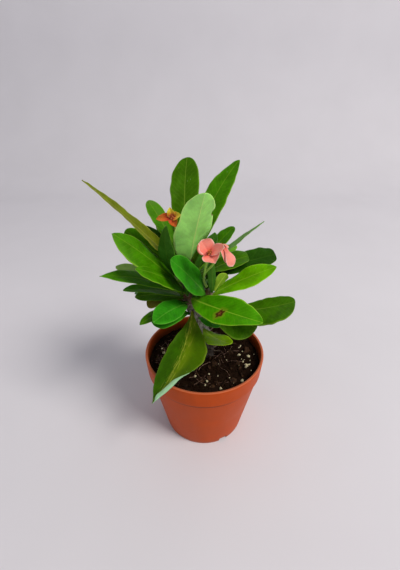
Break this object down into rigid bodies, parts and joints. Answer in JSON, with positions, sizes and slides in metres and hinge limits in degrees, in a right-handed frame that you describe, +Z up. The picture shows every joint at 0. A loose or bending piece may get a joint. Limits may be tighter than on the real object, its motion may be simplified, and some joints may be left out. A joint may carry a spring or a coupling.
{
  "type": "crown of thorns plant in a nursery pot",
  "caption": "Crown of thorns succulent: thorny woody stem, rosette of glossy spoon-shaped leaves and small salmon blooms, growing in a tapered plastic nursery pot filled with soil.",
  "frame": {"origin": "middle of the pot's underside, on the surface it stands on", "axes": "+Z up along the pot's axis; -Y towards the side of the plant with its open blooms; +X to the right seen from there"},
  "size_m": [0.1655, 0.1485, 0.273],
  "materials": {
    "pot_plastic": "satin",
    "soil": "matte",
    "bark": "matte",
    "leaf": "satin",
    "stalk": "satin",
    "salmon_bract": "satin",
    "orange_bract": "satin",
    "bud": "satin"
  },
  "bodies": {
    "root": {"pot": "pot_plastic", "soil": "soil", "stem": "bark", "leaf_crest_back": "leaf", "leaf_crest_right": "leaf", "leaf_pale_front": "leaf", "leaf_left_small": "leaf", "leaf_left_spear": "leaf", "leaf_left_arch": "leaf", "leaf_left_olive": "leaf", "leaf_left_broad": "leaf", "leaf_left_lap": "leaf", "leaf_front_centre": "leaf", "leaf_centre_dark": "leaf", "leaf_left_low": "leaf", "leaf_left_tip": "leaf", "leaf_left_under": "leaf", "leaf_left_under_dark": "leaf", "leaf_left_bronze": "leaf", "leaf_front_left": "leaf", "leaf_front_left_tip": "leaf", "leaf_front_left_low": "leaf", "leaf_front_hanging": "leaf", "leaf_right_low": "leaf", "leaf_right_spotted": "leaf", "leaf_right_far": "leaf", "leaf_right_shadow": "leaf", "leaf_right_curl": "leaf", "leaf_right_bright": "leaf", "leaf_young": "leaf", "leaf_right_blunt": "leaf", "leaf_right_mid": "leaf", "leaf_right_up": "leaf", "leaf_right_fold": "leaf", "leaf_right_blade": "leaf", "leaf_behind_bloom": "leaf", "leaf_back_high": "leaf", "leaf_back_high_left": "leaf", "leaf_back_mid_right": "leaf", "leaf_back_mid": "leaf", "leaf_back_mid_left": "leaf", "leaf_back_low_right": "leaf", "leaf_back_low": "leaf", "leaf_back_low_left": "leaf", "leaf_back_right": "leaf", "stalk_salmon": "stalk", "stalk_orange": "stalk", "stalk_bud": "stalk", "bloom_salmon_cup": "salmon_bract", "bloom_salmon_folded": "salmon_bract", "bloom_orange": "orange_bract", "bud_pink": "bud"}
  },
  "joints": []
}
